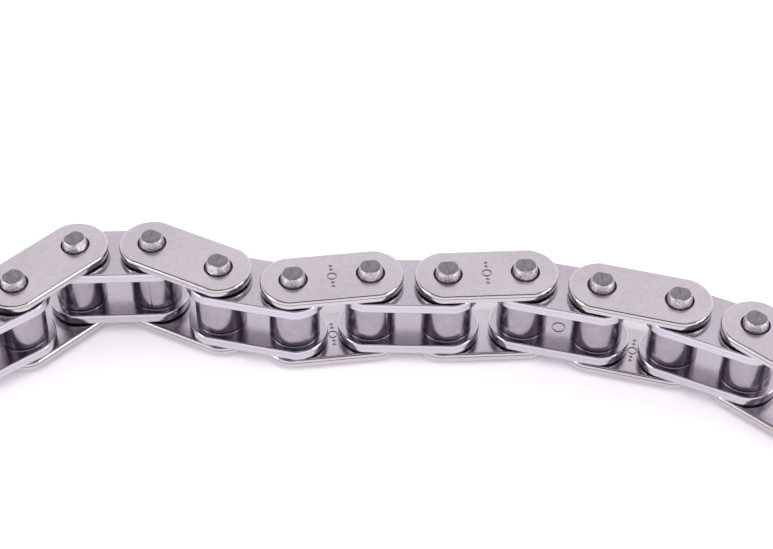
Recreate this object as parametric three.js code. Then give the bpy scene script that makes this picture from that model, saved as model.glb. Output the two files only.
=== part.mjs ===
// A short length of simplex roller chain, 9.525 mm pitch, lying on its side with its pins upright.
// It is built as a chain is assembled: inner links of two plates pressed on two bushes, a free roller
// on each bush, and outer links of two plates pressed on two pins that turn inside the bushes.
// Units are millimetres and +Z is up. The first link is an inner one, so one end offers two open
// bush ends to a connecting link, and the other end is an outer link with one pin still free.
import * as THREE from "three";

// Driving sizes of the chain.
const pitch = 9.525;
const innerWidth = 5.72; // clear width between the inner plates, where the sprocket tooth goes
const rollerDiameter = 6.35;
const pinDiameter = 3.28;
const bushDiameter = 4.95;
const innerPlate = { depth: 8.1, endRadius: 4.15, thickness: 1.4 };
const outerPlate = { depth: 8.0, endRadius: 4.1, thickness: 1.2 };
const plateClearance = 0.3; // between an inner plate and the outer plate beside it
const pinStandsProud = 1.15; // staked pin end above the outer plate
const bushStandsProud = 0.12; // pressed bush end above the inner plate

// Fits between round pieces, each a clear radial gap.
const pressedGap = 0.02; // a pressed fit, drawn with a hair of clearance so the solids stay apart
const runningGap = 0.03; // pin turning in its bush, roller turning on its bush
const rollerEndFloat = 0.06; // each end of the roller to the inner plate

// Direction of each link from one pivot to the next, in degrees from +X: the loose wave it lies in.
const linkHeadings = [38, 46, 3, -26, -12.5, 8, -0.5, 3.5, -13.5, -14.5, -24.5, -40];

// Facets round each kind of round surface.
const pinFacets = 20;
const rollerFacets = 24;
const plateArcFacets = 16;

// Heights of the stack, from the lower pin ends that the chain rests on.
const lowerOuterZ = pinStandsProud;
const lowerInnerZ = lowerOuterZ + outerPlate.thickness + plateClearance;
const rollerSpaceZ = lowerInnerZ + innerPlate.thickness;
const upperInnerZ = rollerSpaceZ + innerWidth;
const upperOuterZ = upperInnerZ + innerPlate.thickness + plateClearance;
const pinLength = upperOuterZ + outerPlate.thickness + pinStandsProud;
const bushLength = innerWidth + 2 * (innerPlate.thickness + bushStandsProud);
const rollerLength = innerWidth - 2 * rollerEndFloat;

const finishes = {
  innerPlate: { color: 0xb4aeb6, roughness: 0.26, metalness: 1.0 },
  outerPlate: { color: 0xc9c4c9, roughness: 0.36, metalness: 1.0 },
  bush: { color: 0x9a949c, roughness: 0.3, metalness: 1.0 },
  roller: { color: 0xaaa3ad, roughness: 0.18, metalness: 1.0 },
  pin: { color: 0x8f8b92, roughness: 0.32, metalness: 1.0 },
};

// Radius of the corners of a faceted bore whose flats stay the given gap clear of a round shaft.
function boreRadius(shaftRadius, gap, facets) {
  return (shaftRadius + gap) / Math.cos(Math.PI / facets);
}

// An extruded link plate: two flanks joined by end arcs about the pivots, with a hole at each pivot.
function plateGeometry({ depth, endRadius, thickness }, holeRadius) {
  const arcHalfAngle = Math.asin(depth / 2 / endRadius);
  const outline = new THREE.Shape();
  outline.absarc(pitch, 0, endRadius, -arcHalfAngle, arcHalfAngle, false);
  outline.absarc(0, 0, endRadius, Math.PI - arcHalfAngle, Math.PI + arcHalfAngle, false);
  for (const pivotX of [0, pitch]) {
    const hole = new THREE.Path();
    hole.absarc(pivotX, 0, holeRadius, 0, 2 * Math.PI, true);
    outline.holes.push(hole);
  }
  const settings = { depth: thickness, bevelEnabled: false, curveSegments: plateArcFacets / 2 };
  return new THREE.ExtrudeGeometry(outline, settings);
}

// A profile of radius and height pairs turned about the vertical axis.
function turned(profile, facets) {
  const points = profile.map(([radius, height]) => new THREE.Vector2(radius, height));
  const geometry = new THREE.LatheGeometry(points, facets);
  geometry.rotateX(Math.PI / 2);
  return geometry;
}

// A solid pin whose ends are staked to a smaller flat, with a sloping shoulder round it.
function pinGeometry() {
  const radius = pinDiameter / 2;
  const flatRadius = 1.25;
  const shoulder = 0.5;
  const profile = [
    [0, 0],
    [flatRadius, 0],
    [radius, shoulder],
    [radius, pinLength - shoulder],
    [flatRadius, pinLength],
    [0, pinLength],
  ];
  return turned(profile, pinFacets);
}

// A sleeve with a bore that runs on a shaft and small chamfers at its outer corners.
function sleeveGeometry(outerRadius, innerRadius, length, chamfer, facets) {
  const profile = [
    [innerRadius, 0],
    [outerRadius - chamfer, 0],
    [outerRadius, chamfer],
    [outerRadius, length - chamfer],
    [outerRadius - chamfer, length],
    [innerRadius, length],
    [innerRadius, 0],
  ];
  return turned(profile, facets);
}

function piece(name, geometry, finish, x, z) {
  const mesh = new THREE.Mesh(geometry, new THREE.MeshStandardMaterial(finish));
  mesh.name = name;
  mesh.position.set(x, 0, z);
  return mesh;
}

const bushRadius = bushDiameter / 2;
const shapes = {
  innerPlate: plateGeometry(innerPlate, boreRadius(bushRadius, pressedGap, plateArcFacets)),
  outerPlate: plateGeometry(outerPlate, boreRadius(pinDiameter / 2, pressedGap, plateArcFacets)),
  pin: pinGeometry(),
  bush: sleeveGeometry(
    bushRadius, boreRadius(pinDiameter / 2, runningGap, pinFacets), bushLength, 0.15, pinFacets,
  ),
  roller: sleeveGeometry(
    rollerDiameter / 2, boreRadius(bushRadius, runningGap, rollerFacets), rollerLength, 0.3, rollerFacets,
  ),
};

// An inner link: two plates, and at each of its pivots a bush with a roller on it.
function innerLink(number) {
  const link = new THREE.Group();
  link.add(piece(`inner_plate_lower_${number}`, shapes.innerPlate, finishes.innerPlate, 0, lowerInnerZ));
  link.add(piece(`inner_plate_upper_${number}`, shapes.innerPlate, finishes.innerPlate, 0, upperInnerZ));
  for (const end of [0, 1]) {
    const pivotNumber = 2 * number - 1 + end;
    const pivotX = end * pitch;
    const bushZ = lowerInnerZ - bushStandsProud;
    link.add(piece(`bush_${pivotNumber}`, shapes.bush, finishes.bush, pivotX, bushZ));
    const rollerZ = rollerSpaceZ + rollerEndFloat;
    link.add(piece(`roller_${pivotNumber}`, shapes.roller, finishes.roller, pivotX, rollerZ));
  }
  return link;
}

// An outer link: two plates, and at each of its pivots the pin that goes through a bush.
function outerLink(number) {
  const link = new THREE.Group();
  link.add(piece(`outer_plate_lower_${number}`, shapes.outerPlate, finishes.outerPlate, 0, lowerOuterZ));
  link.add(piece(`outer_plate_upper_${number}`, shapes.outerPlate, finishes.outerPlate, 0, upperOuterZ));
  for (const end of [0, 1]) {
    link.add(piece(`pin_${2 * number - 1 + end}`, shapes.pin, finishes.pin, end * pitch, 0));
  }
  return link;
}

// The links in turn, inner then outer, each starting at the pivot where the last one ended.
const chain = new THREE.Group();
const pivot = new THREE.Vector3();
linkHeadings.forEach((heading, index) => {
  const number = Math.floor(index / 2) + 1;
  const link = index % 2 === 0 ? innerLink(number) : outerLink(number);
  const angle = THREE.MathUtils.degToRad(heading);
  link.position.copy(pivot);
  link.rotation.z = angle;
  chain.add(link);
  pivot.x += pitch * Math.cos(angle);
  pivot.y += pitch * Math.sin(angle);
});

// The origin is the middle of the chain's footprint, on the surface that it rests on.
const middle = new THREE.Box3().setFromObject(chain, true).getCenter(new THREE.Vector3());
chain.position.set(-middle.x, -middle.y, 0);

export default chain;
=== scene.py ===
import math
import random

import bmesh
import bpy
from mathutils import Matrix, Vector


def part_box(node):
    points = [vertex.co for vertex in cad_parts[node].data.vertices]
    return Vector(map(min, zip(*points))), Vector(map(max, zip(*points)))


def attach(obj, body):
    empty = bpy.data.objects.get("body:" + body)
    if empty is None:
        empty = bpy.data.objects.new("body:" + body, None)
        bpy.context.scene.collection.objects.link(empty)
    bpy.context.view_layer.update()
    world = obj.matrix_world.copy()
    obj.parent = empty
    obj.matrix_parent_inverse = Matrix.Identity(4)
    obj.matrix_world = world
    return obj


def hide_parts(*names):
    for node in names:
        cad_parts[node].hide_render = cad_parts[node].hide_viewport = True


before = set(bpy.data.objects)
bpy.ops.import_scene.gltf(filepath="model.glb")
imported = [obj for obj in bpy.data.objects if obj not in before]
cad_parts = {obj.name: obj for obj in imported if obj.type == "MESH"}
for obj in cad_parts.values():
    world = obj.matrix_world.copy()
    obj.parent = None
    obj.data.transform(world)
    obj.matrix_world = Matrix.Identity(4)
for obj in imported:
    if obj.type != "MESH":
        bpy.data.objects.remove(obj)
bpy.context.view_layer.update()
print("frame loaded:", len(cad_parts), "nodes")


def mm(size):
    return size / 1000


hair = mm(0.001)  # points closer than this are taken as one
knifeSlack = 1e-7  # how near to a cutting plane a point counts as on it


def hexColour(code):  # sRGB hex to the linear colour that the nodes take
    parts = [int(code[i:i + 2], 16) / 255 for i in (1, 3, 5)]
    return (*(c / 12.92 if c <= 0.04045 else ((c + 0.055) / 1.055) ** 2.4 for c in parts), 1)


def axisOf(node):  # where the upright centre line of a pin or bush stands
    low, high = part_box(node)
    return ((low + high) / 2).xy


def heightsOf(node):
    low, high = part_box(node)
    return low.z, high.z


# the links, read from where the bushes and pins stand
linkCount = 6
pitch = (axisOf("pin_2") - axisOf("pin_1")).length
links = []
for number in range(1, linkCount + 1):
    for kind, sleeve in (("inner", "bush"), ("outer", "pin")):
        nodes = [f"{sleeve}_{2 * number - 1}", f"{sleeve}_{2 * number}"]
        start, end = (axisOf(node) for node in nodes)
        along = end - start
        links.append({"body": f"{kind}_link_{number}", "kind": kind, "number": number,
                      "nodes": nodes, "start": start, "heading": math.atan2(along.y, along.x)})
print("links found:", len(links), "pitch in mm:", round(pitch * 1000, 3))


# making a piece: every shape is modelled at its own origin and then put in its place
def finishMesh(bm, name, sharpAngle=38):
    bmesh.ops.remove_doubles(bm, verts=bm.verts, dist=mm(0.0005))
    bmesh.ops.recalc_face_normals(bm, faces=bm.faces)
    # where each point was on the piece's own axes, which the patterns follow
    place = bm.verts.layers.float_vector.new("place")
    for vert in bm.verts:
        vert[place] = vert.co
    for face in bm.faces:
        face.smooth = True
    for edge in bm.edges:
        edge.smooth = edge.calc_face_angle(0) < math.radians(sharpAngle)
    mesh = bpy.data.meshes.new(name)
    bm.to_mesh(mesh)
    bm.free()
    return mesh


def placePiece(name, mesh, material, spot, height, heading, body, node):
    piece = bpy.data.objects.new(name, mesh.copy())
    bpy.context.scene.collection.objects.link(piece)
    piece.data.transform(Matrix.Translation((*spot, height)) @ Matrix.Rotation(heading, 4, "Z"))
    piece.data.materials.append(material)
    piece.modifiers.new("evenShading", "WEIGHTED_NORMAL").keep_sharp = True
    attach(piece, body)
    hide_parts(node)


def everything(bm):
    return bm.verts[:] + bm.edges[:] + bm.faces[:]


def roundEdges(bm, edges, offset, segments):
    bmesh.ops.bevel(bm, geom=edges, offset=mm(offset), offset_type="OFFSET", segments=segments,
                    profile=0.5, affect="EDGES", material=-1, clamp_overlap=True)


def sliceLevel(bm, height):
    bmesh.ops.bisect_plane(bm, geom=everything(bm), plane_co=(0, 0, height), plane_no=(0, 0, 1),
                           dist=knifeSlack)


def stampInto(bm, punches):  # presses punch shapes into a piece and gives back the stamped mesh
    stamped = []
    for label, source in (("blank", bm), ("punch", punches)):
        mesh = bpy.data.meshes.new(label)
        source.to_mesh(mesh)
        source.free()
        stamped.append(bpy.data.objects.new(label, mesh))
        bpy.context.scene.collection.objects.link(stamped[-1])
    blank, punch = stamped
    cut = blank.modifiers.new("stamp", "BOOLEAN")
    cut.operation = "DIFFERENCE"
    cut.solver = "EXACT"
    cut.object = punch
    result = bmesh.new()
    result.from_object(blank, bpy.context.evaluated_depsgraph_get())
    for item in stamped:
        bpy.data.meshes.remove(item.data)
    return result


# the marks, in mm about the middle of a plate: a plain ring, and diamonds in a row across it
stampDepth = 0.1
outerMark = {"ring": 0.64, "stroke": 0.22, "diamond": 0.4, "diamondsAt": (-1.75, -1.12, 1.12, 1.75)}
innerMark = {"ring": 0.88, "stroke": 0.22, "diamondsAt": ()}


def ringPunch(bm, height, radius, stroke, steps=40):
    ring = bmesh.ops.create_circle(bm, segments=steps, radius=mm(radius))["verts"]
    inside = bmesh.ops.create_circle(bm, segments=steps, radius=mm(radius - stroke))["verts"]
    rims = list({edge for vert in ring + inside for edge in vert.link_edges})
    faces = bmesh.ops.bridge_loops(bm, edges=rims)["faces"]
    raised = bmesh.ops.extrude_face_region(bm, geom=faces, use_keep_orig=True)["geom"]
    top = [item for item in raised if isinstance(item, bmesh.types.BMVert)]
    bmesh.ops.translate(bm, verts=ring + inside, vec=(pitch / 2, 0, height - mm(stampDepth)))
    bmesh.ops.translate(bm, verts=top, vec=(pitch / 2, 0, height + mm(stampDepth)))


def diamondPunch(bm, height, across, side):
    block = bmesh.ops.create_cube(bm, size=1)["verts"]
    bmesh.ops.scale(bm, verts=block, vec=(mm(side), mm(side), 2 * mm(stampDepth)))
    bmesh.ops.rotate(bm, verts=block, matrix=Matrix.Rotation(math.pi / 4, 3, "Z"))
    bmesh.ops.translate(bm, verts=block, vec=(pitch / 2, mm(across), height))


def markPunches(mark, height):
    punches = bmesh.new()
    ringPunch(punches, height, mark["ring"], mark["stroke"])
    for across in mark["diamondsAt"]:
        diamondPunch(punches, height, across, mark["diamond"])
    bmesh.ops.recalc_face_normals(punches, faces=punches.faces)
    return punches


# link plates: blanked from strip, so the punch side rolls over, the cut shears and then tears
# each plate's last two tones are painted shade: a dark line along the cut side where it tears, and
# darker colour in the hole mouths and stamped marks
outerPlate = {"depth": 8.0, "endRadius": 4.1, "holeRadius": 1.66, "mouth": 0.15,
              "mouthDepth": 0.3, "rollOver": 0.36, "breakEdge": 0.08, "tearFrom": 0.6,
              "tearStep": 0.045, "tearTaper": 0.03, "steps": 96, "mark": outerMark,
              "tones": ("#c1b9c1", "#cbc4cb"), "gloss": (0.2, 0.27), "grain": 2.6,
              "cutTone": "#cbc5c8", "tearShadeTone": "#746f74", "sunkShadeTone": "#aaa2ab"}
innerPlate = {"depth": 8.1, "endRadius": 4.15, "holeRadius": 2.49, "mouth": 0.08,
              "mouthDepth": 0.12, "rollOver": 0.2, "breakEdge": 0.08, "tearFrom": 0.6,
              "tearStep": 0.015, "tearTaper": 0.03, "steps": 96, "mark": innerMark,
              "tones": ("#b8b1b9", "#c2bcc4"), "gloss": (0.14, 0.2), "grain": 2.2,
              "cutTone": "#cbc8d1", "tearShadeTone": "#bdbac3", "sunkShadeTone": "#aaa2ab"}


def outFromSpine(co):  # from the line between the two pivots out to a point, seen from above
    return Vector((co.x - min(max(co.x, 0), pitch), co.y))


def plateMesh(name, plate, thickness, markUp):
    bm = bmesh.new()
    half = mm(plate["depth"]) / 2
    endRadius, holeRadius = mm(plate["endRadius"]), mm(plate["holeRadius"])
    bmesh.ops.create_circle(bm, segments=plate["steps"], radius=holeRadius)
    rim = bmesh.ops.create_circle(bm, segments=plate["steps"], radius=endRadius)["verts"]
    shoulder = -math.sqrt(1 - (half / endRadius) ** 2)
    # the inboard side of the ring is pushed out to the flanks and to the middle of the plate
    for vert in rim:
        reach = vert.co.normalized()
        if reach.x > shoulder:  # 1e-6 only guards the division
            vert.co = reach * min(half / max(abs(reach.y), 1e-6), pitch / 2 / max(reach.x, 1e-6))
    for side in (half, -half):
        corner = Vector((pitch / 2, side, 0))
        min(rim, key=lambda vert: (vert.co - corner).length).co = corner
    bmesh.ops.bridge_loops(bm, edges=bm.edges[:])
    bmesh.ops.translate(bm, verts=bm.verts, vec=(-pitch / 2, 0, 0))
    bmesh.ops.mirror(bm, geom=everything(bm), axis="X", merge_dist=hair)
    bmesh.ops.translate(bm, verts=bm.verts, vec=(pitch / 2, 0, 0))
    raised = bmesh.ops.extrude_face_region(bm, geom=bm.faces[:], use_keep_orig=True)["geom"]
    top = [item for item in raised if isinstance(item, bmesh.types.BMVert)]
    bmesh.ops.translate(bm, verts=top, vec=(0, 0, thickness))
    bmesh.ops.recalc_face_normals(bm, faces=bm.faces)

    pastHole, onWall = holeRadius * 1.2, holeRadius * 1.3

    def cornersAt(height, outside):
        return [edge for edge in bm.edges
                if all(abs(vert.co.z - height) < hair for vert in edge.verts)
                and edge.calc_face_angle(0) > 1
                and (min(outFromSpine(vert.co).length for vert in edge.verts)
                     > pastHole) == outside]

    roundEdges(bm, cornersAt(thickness, outside=True), plate["rollOver"], segments=6)
    roundEdges(bm, cornersAt(0, outside=True), plate["breakEdge"], segments=3)
    mouthDepth = mm(plate["mouthDepth"])
    for height, depth in ((0, mouthDepth), (thickness, thickness - mouthDepth)):
        mouth = {vert for edge in cornersAt(height, outside=False) for vert in edge.verts}
        sliceLevel(bm, depth)
        for vert in mouth:  # the hole opens a little at both faces
            pivot = Vector((0 if vert.co.x < pitch / 2 else pitch, 0, vert.co.z))
            vert.co = pivot + (vert.co - pivot) * (1 + plate["mouth"] / plate["holeRadius"])
    tearTop = thickness * plate["tearFrom"]
    sliceLevel(bm, tearTop)
    sliceLevel(bm, tearTop - mm(plate["tearStep"]))
    for vert in bm.verts:  # below the sheared band the torn metal steps in and falls back a little
        out = outFromSpine(vert.co)
        if out.length > onWall and vert.co.z < tearTop - hair:
            fall = plate["tearStep"] + plate["tearTaper"] * (1 - vert.co.z / tearTop)
            vert.co.xy -= out.normalized() * mm(fall)
    return finishMesh(stampInto(bm, markPunches(plate["mark"], thickness if markUp else 0)), name)


# turned pieces: radius and height pairs in mm, spun into a closed skin
def lathe(profile, steps):
    bm = bmesh.new()
    verts = [bm.verts.new((mm(radius), 0, mm(height))) for radius, height in profile]
    edges = [bm.edges.new(pair) for pair in zip(verts, verts[1:])]
    if profile[0][0] > 0:  # a sleeve's profile is a closed ring
        edges.append(bm.edges.new((verts[-1], verts[0])))
    bmesh.ops.spin(bm, geom=verts + edges, cent=(0, 0, 0), axis=(0, 0, 1), angle=2 * math.pi,
                   steps=steps, use_merge=True)
    bmesh.ops.remove_doubles(bm, verts=bm.verts, dist=hair)
    bmesh.ops.recalc_face_normals(bm, faces=bm.faces)
    return bm


def roundCorners(bm, corners, segments=3):  # a corner is its radius, height and rounding
    for radius, height, offset in corners:
        ring = [edge for edge in bm.edges
                if all(abs(vert.co.z - mm(height)) < hair
                       and abs(vert.co.xy.length - mm(radius)) < 2 * hair for vert in edge.verts)]
        roundEdges(bm, ring, offset, segments)


# depths are from the nearer end; the groove is a radius and a depth
pin = {"shankRadius": 1.64, "groove": (1.54, 1.5), "grooveFlanks": (0.1, 0.12), "neckRadius": 1.57,
       "neckDepth": 1.1, "domeRadius": 1.44, "domeDepth": 0.32, "domeRound": 0.16,
       "flatRadius": 1.24, "flatRound": 0.06, "stakeTop": 1.03, "stakeFoot": 1.52,
       "stakeDepth": 1.1, "nearStakes": (0.45, 0.06), "steps": 96, "faceEdge": (0.05, 0.02),
       "faceTones": ("#726d74", "#959096"), "faceGloss": (0.3, 0.42), "neckFade": 0.1,
       "neckTones": ("#989199", "#ded8de"), "neckGloss": (0.26, 0.46),
       "shankTone": "#b3acb4", "shankGloss": 0.2}


def pinMesh(length, nearStake):  # nearStake moves the staking blow on the -Y side outwards, in mm
    grooveRadius, grooveDepth = pin["groove"]
    before, after = pin["grooveFlanks"]
    end = [(0, 0), (pin["flatRadius"], 0), (pin["domeRadius"], pin["domeDepth"]),
           (pin["neckRadius"], pin["neckDepth"]), (grooveRadius, grooveDepth - before),
           (grooveRadius, grooveDepth), (pin["shankRadius"], grooveDepth + after)]
    bm = lathe(end + [(radius, length - height) for radius, height in reversed(end)], pin["steps"])
    corners = [(pin["flatRadius"], 0, pin["flatRound"]),
               (pin["domeRadius"], pin["domeDepth"], pin["domeRound"])]
    farCorners = [(radius, length - height, offset) for radius, height, offset in corners]
    roundCorners(bm, corners + farCorners)
    slope = Vector((0, pin["stakeDepth"], pin["stakeFoot"] - pin["stakeTop"])).normalized()
    for side, top in ((1, pin["stakeTop"]), (-1, pin["stakeTop"] + nearStake)):
        for endHeight, up in ((length, 1), (0, -1)):
            cut = bmesh.ops.bisect_plane(
                bm, geom=everything(bm), dist=knifeSlack, clear_outer=True,
                plane_co=(0, side * mm(top), mm(endHeight)),
                plane_no=(0, side * slope.y, up * slope.z))
            rim = [item for item in cut["geom_cut"] if isinstance(item, bmesh.types.BMEdge)]
            bmesh.ops.edgeloop_fill(bm, edges=rim)
    return finishMesh(bm, "pin", sharpAngle=28)


# sleeves curled from strip; a rounding is its size and its segments
roller = {"radius": 3.175, "boreRadius": 2.53, "endRound": (0.22, 5), "boreRound": (0.12, 2),
          "steps": 144, "seamDepth": 0.05, "seamEdge": (0.08, 0.04), "sharpAngle": 24,
          "tones": ("#a199a4", "#ada5b0"), "seamTone": "#8d858f", "gloss": (0.16, 0.24)}
bush = {"radius": 2.47, "boreRadius": 1.68, "endRound": (0.15, 3), "boreRound": (0.12, 3),
        "steps": 96, "seamDepth": 0.04, "sharpAngle": 38, "tones": ("#9a939b", "#aea7af"),
        "gloss": (0.22, 0.36)}


def sleeveMesh(name, sleeve, length):
    outer, bore = sleeve["radius"], sleeve["boreRadius"]
    bm = lathe([(bore, 0), (outer, 0), (outer, length), (bore, length)], sleeve["steps"])
    for radius, rounding in ((outer, "endRound"), (bore, "boreRound")):
        offset, segments = sleeve[rounding]
        roundCorners(bm, [(radius, 0, offset), (radius, length, offset)], segments)
    for vert in bm.verts:  # the seam where the strip closes, along +X
        if abs(vert.co.y) < mm(0.01) and vert.co.x > mm((outer + bore) / 2):
            vert.co.x -= mm(sleeve["seamDepth"])
    return finishMesh(bm, name, sleeve["sharpAngle"])


# materials: lines and masks read the piece's own axes in mm, grain and mottling read the object's
# in a map range, sockets 1 and 2 are what comes in and 3 and 4 what goes out, 0 to 1 when unsaid
noiseSpan = {1: 0.3, 2: 0.7}  # where nearly all of a noise pattern lies


# a socket takes a value, or a link from a node or from one of its outputs
def setInputs(tree, node, inputs):
    for socket, value in inputs.items():
        if isinstance(value, bpy.types.Node):
            value = next(output for output in value.outputs if output.enabled)
        if isinstance(value, bpy.types.NodeSocket):
            tree.links.new(value, node.inputs[socket])
        else:
            node.inputs[socket].default_value = value


def addNode(tree, kind, inputs, **settings):
    node = tree.nodes.new("ShaderNode" + kind)
    for name, value in settings.items():
        setattr(node, name, value)
    setInputs(tree, node, inputs)
    return node


def startMetal(name):
    material = bpy.data.materials.new(name)
    material.use_nodes = True
    tree = material.node_tree
    shader = tree.nodes["Principled BSDF"]
    shader.inputs["Metallic"].default_value = 1.0
    sources = (addNode(tree, "Attribute", {}, attribute_name="place").outputs["Vector"],
               addNode(tree, "TexCoord", {}).outputs["Object"])
    place, spot = (addNode(tree, "VectorMath", {0: source, "Scale": 1000}, operation="SCALE")
                   for source in sources)
    return material, tree, shader, place, spot


def rimMask(tree, place, plate):  # 1 on a plate's cut side, 0 on its faces
    axes = addNode(tree, "SeparateXYZ", {0: place}).outputs
    near = addNode(tree, "Clamp", {0: axes["X"], 1: 0.0, 2: pitch * 1000})
    past = addNode(tree, "Math", {0: axes["X"], 1: near}, operation="SUBTRACT")
    out = addNode(tree, "CombineXYZ", {0: past, 1: axes["Y"]})
    distance = addNode(tree, "VectorMath", {0: out}, operation="LENGTH")
    edge = plate["depth"] / 2
    return addNode(tree, "MapRange", {0: distance, 1: edge - plate["rollOver"] * 0.8,
                                      2: edge - plate["rollOver"] * 0.5})


# what both kinds of plate share: spans are in mm from the tear, from its painted shade line, and
# from a face for the painted shade in recesses, the scratches are a turn and counts per mm on each
# axis
plateSurface = {"drift": (0.09, 0.09, 0.02), "mottle": 1.7, "toneSpan": (0.75, 1.25),
                "tornSpan": (0.02, -0.04), "tearShadeSpan": (0.11, 0.06), "sunkShadeSpan": (-0.01, -0.06),
                "scratches": ((0.0, (0.5, 11.0, 3.0)), (1.1, (0.35, 9.0, 3.0))),
                "scratchSpan": (0.66, 0.78), "scratchDull": 0.03, "dieGloss": 0.14,
                "tornDull": 0.06, "drag": (6.0, 6.0, 0.5)}


def plateSteel(name, plate, thickness):
    material, tree, shader, place, spot = startMetal(name)
    first, last = (hexColour(code) for code in plate["tones"])
    slow = addNode(tree, "Mapping", {"Vector": spot, "Scale": plateSurface["drift"]})
    # the tone drifts from plate to plate and is mottled within each
    drift = addNode(tree, "TexNoise", {"Vector": slow, "Scale": 1.0, "Detail": 1.0})
    mottle = addNode(tree, "TexNoise", {"Vector": spot, "Scale": plateSurface["mottle"],
                                        "Detail": 4.0, "Roughness": 0.6})
    tone = addNode(tree, "Math", {0: drift, 1: mottle}, operation="ADD")
    low, high = plateSurface["toneSpan"]
    tone = addNode(tree, "MapRange", {0: tone, 1: low, 2: high})
    colour = addNode(tree, "Mix", {0: tone, 6: first, 7: last}, data_type="RGBA")

    # the cut side, its torn part, and a painted shade line where shearing turned to tearing,
    # standing in for the shadow of the small step there
    rim = rimMask(tree, place, plate)
    height = addNode(tree, "SeparateXYZ", {0: place}).outputs["Z"]
    tearTop = thickness * plate["tearFrom"]
    above, below = (tearTop + offset for offset in plateSurface["tornSpan"])
    torn = addNode(tree, "MapRange", {0: height, 1: above, 2: below})
    torn = addNode(tree, "Math", {0: rim, 1: torn}, operation="MULTIPLY")
    fromTear = addNode(tree, "Math", {0: height, 1: tearTop}, operation="SUBTRACT")
    fromTear = addNode(tree, "Math", {0: fromTear}, operation="ABSOLUTE")
    far, near = plateSurface["tearShadeSpan"]
    line = addNode(tree, "MapRange", {0: fromTear, 1: far, 2: near})
    line = addNode(tree, "Math", {0: line, 1: rim}, operation="MULTIPLY")

    # stamped lines and hole mouths get a painted shade: the colour darkens where the surface lies
    # more than a few hundredths of a mm below a face, off the cut side
    fromMiddle = addNode(tree, "Math", {0: height, 1: thickness / 2}, operation="SUBTRACT")
    fromMiddle = addNode(tree, "Math", {0: fromMiddle}, operation="ABSOLUTE")
    face, floor = (thickness / 2 + offset for offset in plateSurface["sunkShadeSpan"])
    sunkShade = addNode(tree, "MapRange", {0: fromMiddle, 1: face, 2: floor})
    offRim = addNode(tree, "Math", {0: 1.0, 1: rim}, operation="SUBTRACT")
    sunkShade = addNode(tree, "Math", {0: sunkShade, 1: offRim}, operation="MULTIPLY")
    # blends in the cut side's own tone, then the painted shade line at the tear and the painted
    # shade in recesses
    for mask, tone in ((rim, "cutTone"), (line, "tearShadeTone"), (sunkShade, "sunkShadeTone")):
        colour = addNode(tree, "Mix", {0: mask, 6: colour, 7: hexColour(plate[tone])},
                         data_type="RGBA")

    scratches = []
    low, high = plateSurface["scratchSpan"]
    for turn, counts in plateSurface["scratches"]:
        lean = addNode(tree, "Mapping", {"Vector": spot if turn else place,
                                         "Rotation": (0, 0, turn)})
        drawn = addNode(tree, "VectorMath", {0: lean, 1: counts}, operation="MULTIPLY")
        noise = addNode(tree, "TexNoise", {"Vector": drawn, "Scale": 1.0, "Detail": 2.0})
        scratches.append(addNode(tree, "MapRange", {0: noise, 1: low, 2: high,
                                                    4: plateSurface["scratchDull"]}))
    marred = addNode(tree, "Math", {0: scratches[0], 1: scratches[1]}, operation="ADD")
    smooth, dull = plate["gloss"]
    rough = addNode(tree, "MapRange", {0: mottle, **noiseSpan, 3: smooth, 4: dull})
    rough = addNode(tree, "Math", {0: rough, 1: marred}, operation="ADD")
    # the cut side is burnished by the die, and its torn part a little duller
    rough = addNode(tree, "Mix", {0: rim, 2: rough, 3: plateSurface["dieGloss"]})
    rough = addNode(tree, "Math", {0: torn, 1: plateSurface["tornDull"], 2: rough},
                    operation="MULTIPLY_ADD")

    grain = addNode(tree, "TexNoise", {"Vector": spot, "Scale": plate["grain"], "Detail": 2.0})
    bump = addNode(tree, "Bump", {"Height": grain, "Strength": 0.3, "Distance": mm(0.002)})
    down = addNode(tree, "Mapping", {"Vector": place, "Scale": plateSurface["drag"]})
    drag = addNode(tree, "TexNoise", {"Vector": down, "Scale": 1.0, "Detail": 2.0})
    drag = addNode(tree, "Math", {0: drag, 1: rim}, operation="MULTIPLY")  # lines down the cut side
    bump = addNode(tree, "Bump", {"Height": drag, "Strength": 0.5, "Distance": mm(0.012),
                                  "Normal": bump})
    setInputs(tree, shader, {"Base Color": colour, "Roughness": rough, "Normal": bump})
    return material


def groundRollerSteel():
    # case-hardened carbon steel, centreless ground: near mirror, with faint lines running round it
    material, tree, shader, place, spot = startMetal("centrelessGroundSteel")
    first, last = (hexColour(code) for code in roller["tones"])
    mottle = addNode(tree, "TexNoise", {"Vector": spot, "Scale": 0.9, "Detail": 3.0})
    mottle = addNode(tree, "MapRange", {0: mottle, **noiseSpan})
    colour = addNode(tree, "Mix", {0: mottle, 6: first, 7: last}, data_type="RGBA")
    axes = addNode(tree, "SeparateXYZ", {0: place}).outputs
    fromSeam = addNode(tree, "Math", {0: axes["Y"]}, operation="ABSOLUTE")
    far, near = roller["seamEdge"]
    seam = addNode(tree, "MapRange", {0: fromSeam, 1: far, 2: near})
    onSeamSide = addNode(tree, "Math", {0: axes["X"], 1: 0.0}, operation="GREATER_THAN")
    seam = addNode(tree, "Math", {0: seam, 1: onSeamSide}, operation="MULTIPLY")
    colour = addNode(tree, "Mix", {0: seam, 6: colour, 7: hexColour(roller["seamTone"])},
                     data_type="RGBA")
    around = addNode(tree, "Mapping", {"Vector": place, "Scale": (0.25, 0.25, 9.0)})
    lines = addNode(tree, "TexNoise", {"Vector": around, "Scale": 1.0, "Detail": 4.0,
                                       "Roughness": 0.6})
    smooth, dull = roller["gloss"]
    rough = addNode(tree, "MapRange", {0: lines, **noiseSpan, 3: smooth, 4: dull})
    bump = addNode(tree, "Bump", {"Height": lines, "Strength": 0.3, "Distance": mm(0.003)})
    setInputs(tree, shader, {"Base Color": colour, "Roughness": rough, "Normal": bump})
    return material


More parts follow.
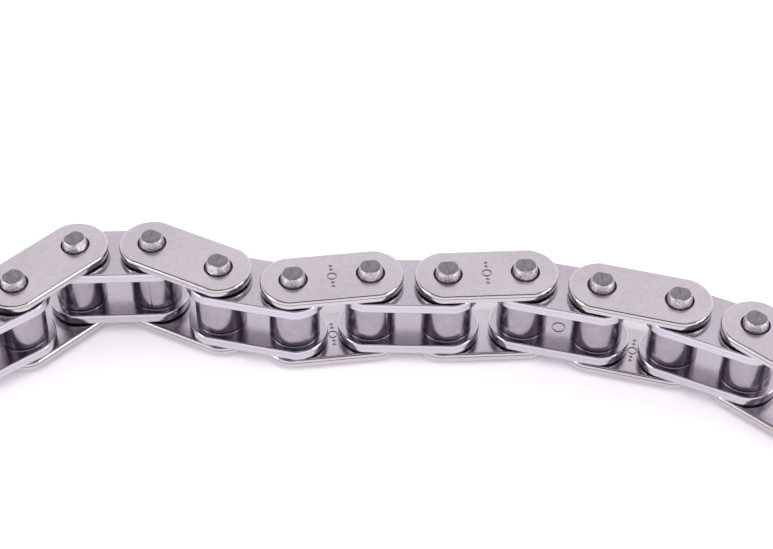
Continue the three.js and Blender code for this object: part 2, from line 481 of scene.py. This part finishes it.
def stakedPinSteel(length):
    # case-hardened alloy steel: a cropped end dulled by fine lines, a neck pitted by the staking
    # punch, and a smooth shank
    material, tree, shader, place, spot = startMetal("croppedAndStakedSteel")
    height = addNode(tree, "SeparateXYZ", {0: place}).outputs["Z"]
    fromMiddle = addNode(tree, "Math", {0: height, 1: length / 2}, operation="SUBTRACT")
    fromMiddle = addNode(tree, "Math", {0: fromMiddle}, operation="ABSOLUTE")
    under, top = (length / 2 - depth for depth in pin["faceEdge"])
    face = addNode(tree, "MapRange", {0: fromMiddle, 1: under, 2: top})
    grooveTop = length / 2 - pin["groove"][1]
    neck = addNode(tree, "MapRange", {0: fromMiddle, 1: grooveTop, 2: grooveTop + pin["neckFade"]})
    across = addNode(tree, "Mapping", {"Vector": place, "Scale": (7.0, 0.8, 0.2)})
    lines = addNode(tree, "TexNoise", {"Vector": across, "Scale": 1.0, "Detail": 3.0,
                                       "Roughness": 0.6})
    pits = addNode(tree, "TexNoise", {"Vector": spot, "Scale": 4.4, "Detail": 3.0,
                                      "Roughness": 0.7})
    tones, roughs = [], []
    for pattern, part in ((pits, "neck"), (lines, "face")):
        first, last = (hexColour(code) for code in pin[part + "Tones"])
        share = addNode(tree, "MapRange", {0: pattern, 1: 0.36, 2: 0.64})
        tones.append(addNode(tree, "Mix", {0: share, 6: first, 7: last}, data_type="RGBA"))
        smooth, dull = pin[part + "Gloss"]
        roughs.append(addNode(tree, "MapRange", {0: pattern, **noiseSpan, 3: smooth, 4: dull}))
    colour = addNode(tree, "Mix", {0: neck, 6: hexColour(pin["shankTone"]), 7: tones[0]},
                     data_type="RGBA")
    colour = addNode(tree, "Mix", {0: face, 6: colour, 7: tones[1]}, data_type="RGBA")
    rough = addNode(tree, "Mix", {0: neck, 2: pin["shankGloss"], 3: roughs[0]})
    rough = addNode(tree, "Mix", {0: face, 2: rough, 3: roughs[1]})
    pitted = addNode(tree, "Math", {0: pits, 1: neck}, operation="MULTIPLY")
    bump = addNode(tree, "Bump", {"Height": pitted, "Strength": 0.8, "Distance": mm(0.1)})
    lined = addNode(tree, "Math", {0: lines, 1: face}, operation="MULTIPLY")
    bump = addNode(tree, "Bump", {"Height": lined, "Strength": 0.4, "Distance": mm(0.01),
                                  "Normal": bump})
    setInputs(tree, shader, {"Base Color": colour, "Roughness": rough, "Normal": bump})
    return material


def curledBushSteel():
    # case-hardened strip, curled into a sleeve: a soft sheen with faint lines along it
    material, tree, shader, place, spot = startMetal("curledStripSteel")
    first, last = (hexColour(code) for code in bush["tones"])
    mottle = addNode(tree, "TexNoise", {"Vector": spot, "Scale": 1.2, "Detail": 3.0})
    mottle = addNode(tree, "MapRange", {0: mottle, **noiseSpan})
    colour = addNode(tree, "Mix", {0: mottle, 6: first, 7: last}, data_type="RGBA")
    along = addNode(tree, "Mapping", {"Vector": place, "Scale": (4.0, 4.0, 0.3)})
    lines = addNode(tree, "TexNoise", {"Vector": along, "Scale": 1.0, "Detail": 3.0})
    smooth, dull = bush["gloss"]
    rough = addNode(tree, "MapRange", {0: lines, **noiseSpan, 3: smooth, 4: dull})
    bump = addNode(tree, "Bump", {"Height": lines, "Strength": 0.3, "Distance": mm(0.005)})
    setInputs(tree, shader, {"Base Color": colour, "Roughness": rough, "Normal": bump})
    return material


# shapes, with their heights taken from the frame
pinLow, pinHigh = heightsOf("pin_1")
bushLow, bushHigh = heightsOf("bush_1")
rollerLow, rollerHigh = heightsOf("roller_1")
thickness = {}
plates = {}
for kind, plate in (("inner", innerPlate), ("outer", outerPlate)):
    low, high = heightsOf(f"{kind}_plate_lower_1")
    thickness[kind] = high - low
    for markUp in (False, True):
        plates[kind, markUp] = plateMesh(f"{kind}Plate", plate, high - low, markUp)
pinLength = (pinHigh - pinLow) * 1000
pinShapes = [pinMesh(pinLength, nearStake) for nearStake in pin["nearStakes"]]
rollerShape = sleeveMesh("roller", roller, (rollerHigh - rollerLow) * 1000)
bushShape = sleeveMesh("bush", bush, (bushHigh - bushLow) * 1000)
print("shapes made")

# blanked plates, through hardened: the outer ones tumbled, even and satin, the inner ones brighter
plateMaterials = {
    "outer": plateSteel("tumbledHardenedSteel", outerPlate, thickness["outer"] * 1000),
    "inner": plateSteel("polishedHardenedSteel", innerPlate, thickness["inner"] * 1000)}
pinMaterial = stakedPinSteel(pinLength)
rollerMaterial = groundRollerSteel()
bushMaterial = curledBushSteel()
print("materials made")

markedFaceUp = {"outer_plate_upper_3", "outer_plate_upper_4", "outer_plate_lower_3",
                "outer_plate_lower_5", "inner_plate_lower_5"}
seamTurn = {"4": -97, "7": -51}  # degrees from +X, for the two rollers whose seam faces the front
random.seed(7)
for link in links:
    body, heading = link["body"], link["heading"]
    number, kind = link["number"], link["kind"]
    for level in ("lower", "upper"):
        node = f"{kind}_plate_{level}_{number}"
        placePiece(f"{kind}Plate{level.capitalize()}{number}", plates[kind, node in markedFaceUp],
                   plateMaterials[kind], link["start"], heightsOf(node)[0], heading, body, node)
    for end, node in enumerate(link["nodes"]):
        count = node.split("_")[1]
        spot = axisOf(node)
        if kind == "inner":
            backward = random.uniform(20, 160)
            turn = math.radians(seamTurn.get(count, backward))
            placePiece(f"bush{count}", bushShape, bushMaterial, spot, bushLow, heading, body,
                       node)
            placePiece(f"roller{count}", rollerShape, rollerMaterial, spot, rollerLow, turn,
                       f"roller_{count}", f"roller_{count}")
        else:
            placePiece(f"pin{count}", pinShapes[end], pinMaterial, spot, pinLow, heading, body,
                       node)
print("pieces placed")


# a white table in a white room that is dark only on the camera's side, and a softbox at each side
cameraView = {"lens": 86.5, "sensor": 36, "elevation": 44.5, "roll": 0.63, "distance": 227.7,
              "lookAt": (0.72, 4.38, 12.67), "clipStart": 10}
paperTable = {"size": 3000, "tone": "#fdf9fe", "roughness": 0.7}
# the dark part's edges, each from where it starts to where it is full, in degrees
studio = {"room": "#f9f7fa", "roomStrength": 1.12, "dark": "#1d181f", "darkToward": -14,
          "darkTurn": (50, 34), "dimTurn": (140, 105), "dimShare": 0.85,
          "darkFoot": (32, 40), "darkTop": (78, 68)}
softbox = {"elevation": 22, "size": 240, "distance": 500, "power": 0.65}
softboxTurns = {"sideLeft": -72, "sideRight": 72}
tableFill = {"elevation": 55, "softness": 45, "strength": 1.95}


def makeTable():
    bpy.ops.mesh.primitive_plane_add(size=mm(paperTable["size"]))
    table = bpy.context.object
    table.name = "table"
    paper = bpy.data.materials.new("whitePaper")
    paper.use_nodes = True
    shader = paper.node_tree.nodes["Principled BSDF"]
    shader.inputs["Base Color"].default_value = hexColour(paperTable["tone"])
    shader.inputs["Roughness"].default_value = paperTable["roughness"]
    table.data.materials.append(paper)


def makeRoom():
    world = bpy.data.worlds.new("whiteRoom")
    bpy.context.scene.world = world
    world.use_nodes = True
    tree = world.node_tree
    direction = addNode(tree, "TexCoord", {}).outputs["Generated"]
    axes = addNode(tree, "SeparateXYZ", {0: direction}).outputs
    level = addNode(tree, "CombineXYZ", {0: axes["X"], 1: axes["Y"]})
    level = addNode(tree, "VectorMath", {0: level}, operation="NORMALIZE")
    aim = math.radians(studio["darkToward"])
    facing = addNode(tree, "VectorMath", {0: level, 1: (math.sin(aim), -math.cos(aim), 0)},
                     operation="DOT_PRODUCT")
    shares = []
    for edge, share in (("darkTurn", 1.0), ("dimTurn", studio["dimShare"])):
        light, full = (math.cos(math.radians(angle)) for angle in studio[edge])
        shares.append(addNode(tree, "MapRange", {0: facing, 1: light, 2: full, 4: share}))
    dark = addNode(tree, "Math", {0: shares[0], 1: shares[1]}, operation="MAXIMUM")
    for edge in ("darkFoot", "darkTop"):
        light, full = (math.sin(math.radians(angle)) for angle in studio[edge])
        band = addNode(tree, "MapRange", {0: axes["Z"], 1: light, 2: full})
        dark = addNode(tree, "Math", {0: dark, 1: band}, operation="MULTIPLY")
    room, shade = hexColour(studio["room"]), hexColour(studio["dark"])
    colour = addNode(tree, "Mix", {0: dark, 6: room, 7: shade}, data_type="RGBA")
    setInputs(tree, tree.nodes["Background"],
              {"Color": colour, "Strength": studio["roomStrength"]})


def makeSoftboxes():
    for name, angle in softboxTurns.items():
        light = bpy.data.lights.new(name, "AREA")
        light.size = mm(softbox["size"])
        light.energy = softbox["power"]
        box = bpy.data.objects.new(name, light)
        bpy.context.scene.collection.objects.link(box)
        lean = Matrix.Rotation(math.radians(90 - softbox["elevation"]), 4, "X")
        turn = Matrix.Rotation(math.radians(angle), 4, "Z")
        box.matrix_world = turn @ lean @ Matrix.Translation((0, 0, mm(softbox["distance"])))


# a broad light from the front that whitens the whole table and stays out of the steel
def makeTableFill():
    light = bpy.data.lights.new("tableFill", "SUN")
    light.angle = math.radians(tableFill["softness"])
    light.energy = tableFill["strength"]
    fill = bpy.data.objects.new("tableFill", light)
    bpy.context.scene.collection.objects.link(fill)
    fill.matrix_world = Matrix.Rotation(math.radians(90 - tableFill["elevation"]), 4, "X")
    fill.visible_glossy = False


def makeCamera():
    data = bpy.data.cameras.new("camera")
    data.lens = cameraView["lens"]
    data.sensor_width = cameraView["sensor"]
    data.clip_start = mm(cameraView["clipStart"])
    camera = bpy.data.objects.new("camera", data)
    bpy.context.scene.collection.objects.link(camera)
    tilt = Matrix.Rotation(math.radians(90 - cameraView["elevation"]), 4, "X")
    roll = Matrix.Rotation(math.radians(cameraView["roll"]), 4, "Z")
    back = Matrix.Translation((0, 0, mm(cameraView["distance"])))
    target = Matrix.Translation(Vector(cameraView["lookAt"]) / 1000)
    camera.matrix_world = target @ tilt @ roll @ back
    bpy.context.scene.camera = camera


makeTable()
makeRoom()
makeSoftboxes()
makeTableFill()
makeCamera()
bpy.context.scene.view_settings.view_transform = "Standard"  # keeps the white of the table clean
print("studio set")
